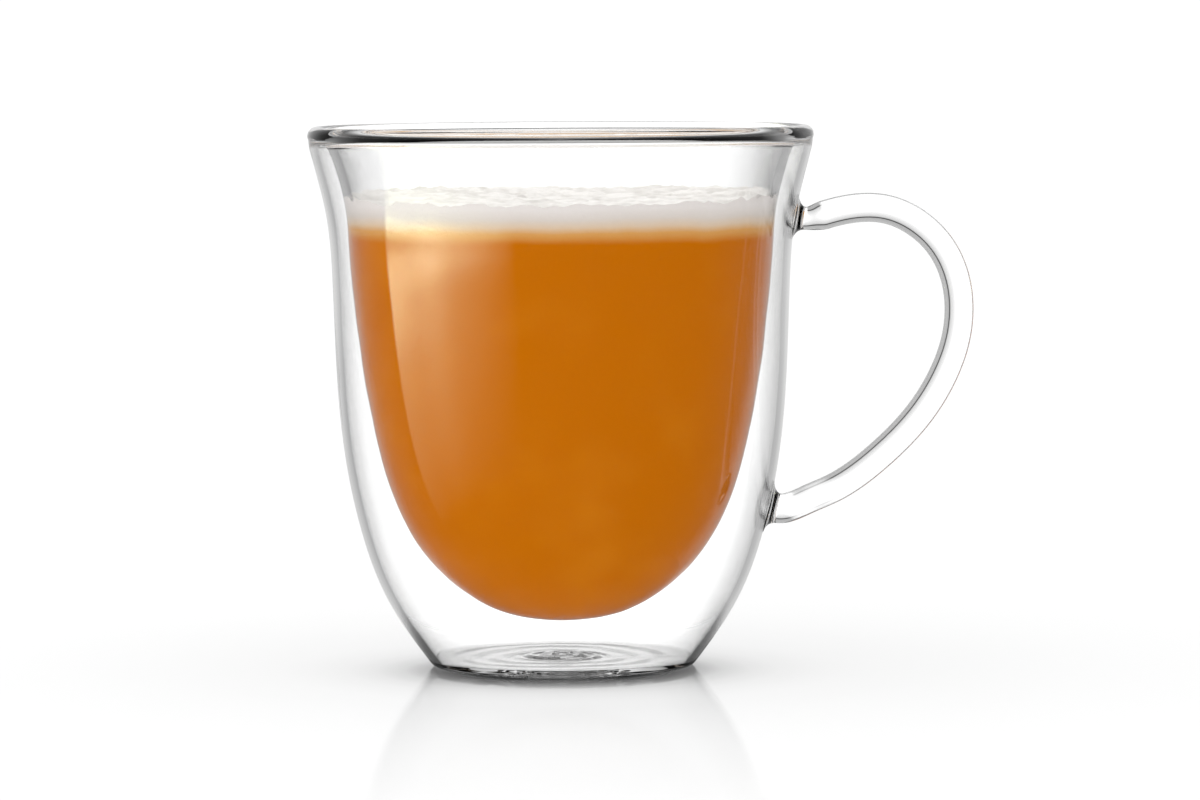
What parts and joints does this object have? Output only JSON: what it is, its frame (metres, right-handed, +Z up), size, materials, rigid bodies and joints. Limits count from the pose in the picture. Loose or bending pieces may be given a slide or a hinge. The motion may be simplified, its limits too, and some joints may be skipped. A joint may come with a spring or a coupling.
{
  "type": "glass of latte",
  "caption": "Double-walled clear glass mug with a rod loop handle, filled with milk coffee under a cap of white milk foam.",
  "frame": {"origin": "centre of the flat face under the foot, on the mug's own axis", "axes": "+Z up along the mug's axis, +X out towards the handle, +Y away from the viewer of the picture"},
  "size_m": [0.1326, 0.1008, 0.1078],
  "materials": {
    "clear_glass": "clear smooth borosilicate glass",
    "seal_glass": "clear fused glass, slightly swirled",
    "milk_coffee": "opaque warm caramel-brown milk coffee, seen through glass",
    "milk_foam": "matt off-white milk foam with a softly folded top"
  },
  "bodies": {
    "root": {"glass": "clear_glass", "vent_seal": "seal_glass", "latte": "milk_coffee", "foam": "milk_foam"}
  },
  "joints": []
}
